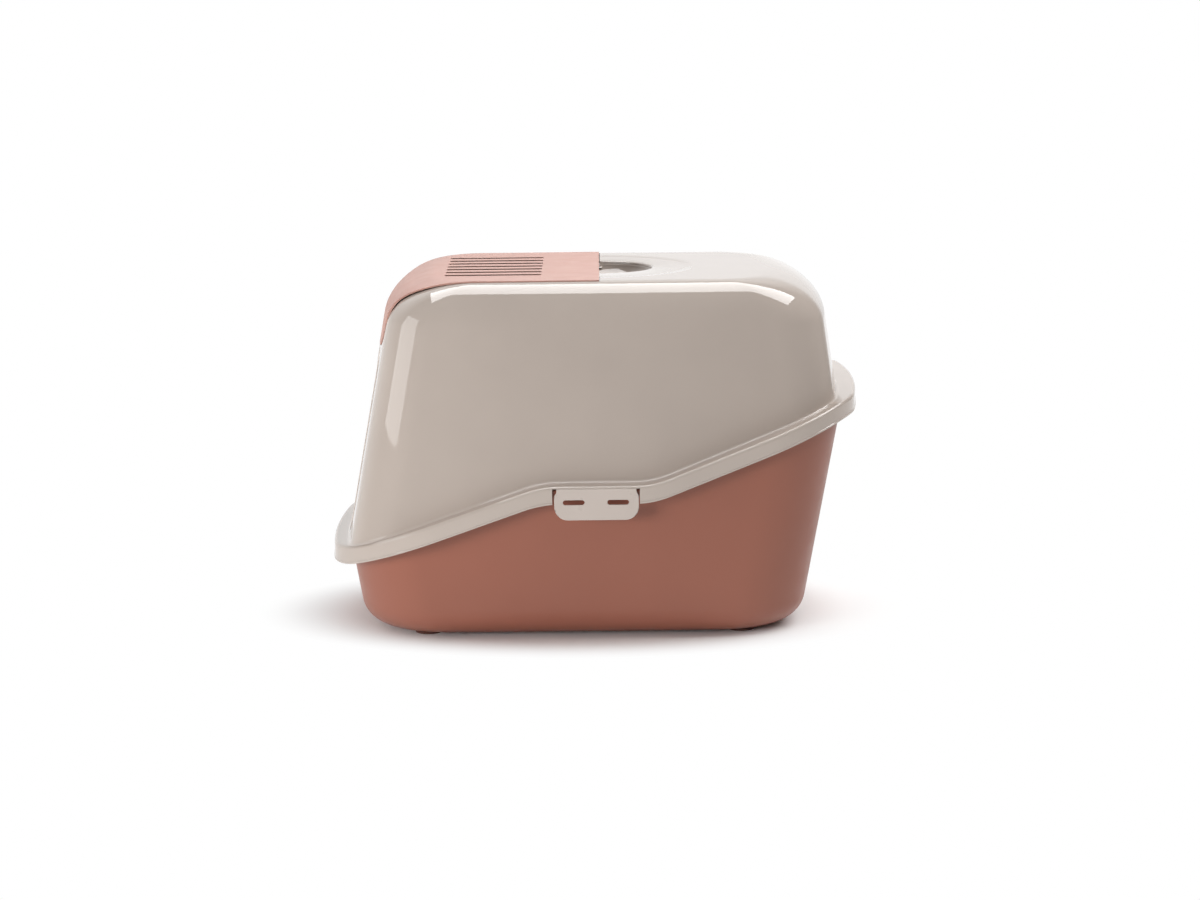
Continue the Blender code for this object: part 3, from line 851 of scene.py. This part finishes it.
def build_filter_pad():
    """The foam pad: a soft block with a crowned top, pulled-in edges and an open-celled skin."""
    low, high = cad_box("carbon_filter")
    middle = (low + high) / 2
    half = (high - low) / 2
    pad = rounded_box("filter_pad", low, high, FOAM_CORNER, "Z", edge=FOAM_EDGE)
    with editing(pad.data) as shape:
        bmesh.ops.triangulate(shape, faces=shape.faces)
        for _ in range(4):
            longest = [e for e in shape.edges if e.calc_length() > FOAM_FACET * MM]
            bmesh.ops.subdivide_edges(shape, edges=longest, cuts=1)
            bmesh.ops.triangulate(shape, faces=[f for f in shape.faces if len(f.verts) > 3])
        shape.normal_update()
        for vert in shape.verts:
            place = np.array(vert.co) / MM
            share = np.abs(place - middle) / half
            sag = FOAM_SAG * max(share[0], share[1]) ** 4 if share[2] > 0.9 else 0.0
            cell = noise.noise(Vector(place / FOAM_CELL))
            cell = cell + FOAM_FINE_SHARE * noise.noise(Vector(place / FOAM_FINE_CELL))
            vert.co -= vert.normal * (FOAM_SINK + FOAM_DEPTH * cell) * MM
            vert.co.z -= np.sign(place[2] - middle[2]) * sag * MM
    smooth(pad, 60.0)
    dress(pad, FOAM, "hood", "carbon_filter")


# ---------------------------------------------------------------- clips and feet

def clip_outline(low, high):
    """A plate with round lower corners, stepped in near its top."""
    half = (high[0] - low[0]) / 2
    middle = (high[0] + low[0]) / 2
    right = []
    for turn in np.linspace(0.0, pi / 2, 15):
        right.append((half - CLIP_CORNER + CLIP_CORNER * sin(turn),
                      low[2] + CLIP_CORNER - CLIP_CORNER * cos(turn)))
    for share in np.linspace(0.0, 1.0, 9):
        right.append((half - CLIP_STEP * ease(share), CLIP_STEP_Z + CLIP_STEP_HEIGHT * share))
    right.append((half - CLIP_STEP, high[2] + 0.5))
    return [(middle + x, z) for x, z in right] + [(middle - x, z) for x, z in reversed(right)]


def build_clip(hand):
    node = f"side_clip_{hand}"
    low, high = cad_box(node)
    clip = prism(f"clip_{hand}_plate", clip_outline(low, high), "Y", low[1], high[1])
    slots = []
    for x in CLIP_SLOT_X:
        slots.append(rounded_box(f"clip_slot_{x:.0f}",
                                 (x - CLIP_SLOT_HALF_LENGTH, low[1] - 5.0, CLIP_SLOT_Z[0]),
                                 (x + CLIP_SLOT_HALF_LENGTH, high[1] + 5.0, CLIP_SLOT_Z[1]),
                                 CLIP_SLOT_ROUND, "Y"))
    soften(clip, CLIP_EDGE)
    even_out(cut(clip, slots))
    dress(clip, LIGHTENED_CLIP_PLASTIC, f"clip_{hand}", node)


def build_foot(node):
    """A low round foot with a rounded edge."""
    low, high = cad_box(node)
    radius = (high[0] - low[0]) / 2
    shape = bmesh.new()
    bmesh.ops.create_cone(shape, cap_ends=True, segments=48, radius1=radius, radius2=radius,
                          depth=high[2] - low[2], matrix=Matrix.Translation((low + high) / 2))
    bevel(shape, sharp_edges(shape, 50.0), FOOT_EDGE, EDGE_SEGMENTS)
    bmesh.ops.scale(shape, vec=(MM, MM, MM), verts=shape.verts)
    dress(smooth(shape_object(f"{node}_pad", shape)), FOOT_RUBBER, "base", node)


# ---------------------------------------------------------------- stage, light and camera

def add_camera():
    """The camera stands off the right side, level with a seated eye, and looks a little down."""
    sideways, ahead = sin(CAMERA_YAW), cos(CAMERA_YAW)
    forward = Vector((sideways * cos(CAMERA_DOWN), ahead * cos(CAMERA_DOWN), -sin(CAMERA_DOWN)))
    right = Vector((ahead, -sideways, 0.0))
    up = right.cross(forward)
    turned_right = right * cos(CAMERA_ROLL) + up * sin(CAMERA_ROLL)
    turned_up = up * cos(CAMERA_ROLL) - right * sin(CAMERA_ROLL)
    data = bpy.data.cameras.new("camera")
    data.sensor_width = CAMERA_SENSOR
    data.lens = CAMERA_LENS
    data.clip_end = 50.0
    camera = add_object("camera", data)
    axes = Matrix((turned_right, turned_up, -forward)).transposed()
    camera.matrix_world = Matrix.Translation(CAMERA_AT) @ axes.to_4x4()
    bpy.context.scene.camera = camera


def add_light(name, at, towards, size, watts, unseen_by):
    data = bpy.data.lights.new(name, "AREA")
    data.shape = "RECTANGLE"
    data.size, data.size_y = size
    data.energy = watts
    lamp = add_object(name, data)
    turn = (Vector(towards) - Vector(at)).to_track_quat("-Z", "Y").to_matrix()
    lamp.matrix_world = Matrix.Translation(at) @ turn.to_4x4()
    setattr(lamp, unseen_by, False)


def build_floor():
    """A pale floor that fades to a white glow away from the box: painted light that lifts the box's
    cast shadow and keeps it short.
    """
    shape = bmesh.new()
    bmesh.ops.create_circle(shape, cap_ends=True, segments=96, radius=FLOOR_RADIUS)
    floor = shape_object("floor", shape)
    pale = bpy.data.materials.new("pale_floor")
    pale.use_nodes = True
    tree = pale.node_tree
    tree.nodes.clear()
    near = tree.nodes.new("ShaderNodeBsdfDiffuse")
    near.inputs["Color"].default_value = (FLOOR_GREY, FLOOR_GREY, FLOOR_GREY, 1.0)
    # The emission is a painted glow. It is mixed in further from the box, and it lifts the box's
    # cast shadow.
    far = tree.nodes.new("ShaderNodeEmission")
    place = tree.nodes.new("ShaderNodeTexCoord")
    footprint = tree.nodes.new("ShaderNodeVectorMath")
    footprint.operation = "MULTIPLY_ADD"
    footprint.inputs[1].default_value = FLOOR_SHRINK
    footprint.inputs[2].default_value = FLOOR_SHIFT
    distance = tree.nodes.new("ShaderNodeVectorMath")
    distance.operation = "LENGTH"
    mix = tree.nodes.new("ShaderNodeMixShader")
    out = tree.nodes.new("ShaderNodeOutputMaterial")
    tree.links.new(place.outputs["Object"], footprint.inputs[0])
    tree.links.new(footprint.outputs["Vector"], distance.inputs[0])
    fade = map_range(tree, distance.outputs["Value"], *FLOOR_FADE, 0.0, 1.0, "SMOOTHSTEP")
    tree.links.new(fade, mix.inputs["Fac"])
    tree.links.new(near.outputs["BSDF"], mix.inputs[1])
    tree.links.new(far.outputs["Emission"], mix.inputs[2])
    tree.links.new(mix.outputs["Shader"], out.inputs["Surface"])
    floor.data.materials.append(pale)


def build_world():
    """A plain white backdrop. As light it is bright behind the box and dim on its right side."""
    world = bpy.data.worlds.new("studio")
    world.use_nodes = True
    tree = world.node_tree
    tree.nodes.clear()
    place = tree.nodes.new("ShaderNodeTexCoord")
    away = tree.nodes.new("ShaderNodeVectorMath")
    away.operation = "DOT_PRODUCT"
    away.inputs[1].default_value = WORLD_BRIGHT_SIDE
    tree.links.new(place.outputs["Generated"], away.inputs[0])
    parts = tree.nodes.new("ShaderNodeSeparateXYZ")
    tree.links.new(place.outputs["Generated"], parts.inputs["Vector"])
    depth = map_range(tree, away.outputs["Value"], *WORLD_DEPTH_FADE, WORLD_NEAR, WORLD_FAR,
                      "SMOOTHSTEP")
    height = parts.outputs["Z"]
    below = map_range(tree, height, *WORLD_BELOW_FADE, WORLD_BELOW, 1.0, "SMOOTHSTEP")
    above = map_range(tree, height, *WORLD_ABOVE_FADE, 1.0, WORLD_ABOVE, "SMOOTHSTEP")
    seen = tree.nodes.new("ShaderNodeBackground")
    lit = tree.nodes.new("ShaderNodeBackground")
    tree.links.new(multiply(tree, multiply(tree, depth, below), above), lit.inputs["Strength"])
    for back in (seen, lit):
        back.inputs["Color"].default_value = (1.0, 1.0, 1.0, 1.0)
    path = tree.nodes.new("ShaderNodeLightPath")
    mix = tree.nodes.new("ShaderNodeMixShader")
    out = tree.nodes.new("ShaderNodeOutputWorld")
    tree.links.new(path.outputs["Is Camera Ray"], mix.inputs["Fac"])
    tree.links.new(lit.outputs["Background"], mix.inputs[1])
    tree.links.new(seen.outputs["Background"], mix.inputs[2])
    tree.links.new(mix.outputs["Shader"], out.inputs["Surface"])
    bpy.context.scene.world = world


add_camera()
build_floor()
build_world()
for light in LIGHTS:
    add_light(*light)
bpy.context.scene.view_settings.view_transform = "Standard"
build_pan()
build_hood()
build_cover()
build_step()
build_door_frame()
build_door()
build_filter_pad()
build_clip("right")
build_clip("left")
for foot in ("foot_front_right", "foot_front_left", "foot_rear_right", "foot_rear_left"):
    build_foot(foot)
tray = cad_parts["filter_tray"]
tray.data.materials.clear()
tray.data.materials.append(TRAY_PLASTIC)
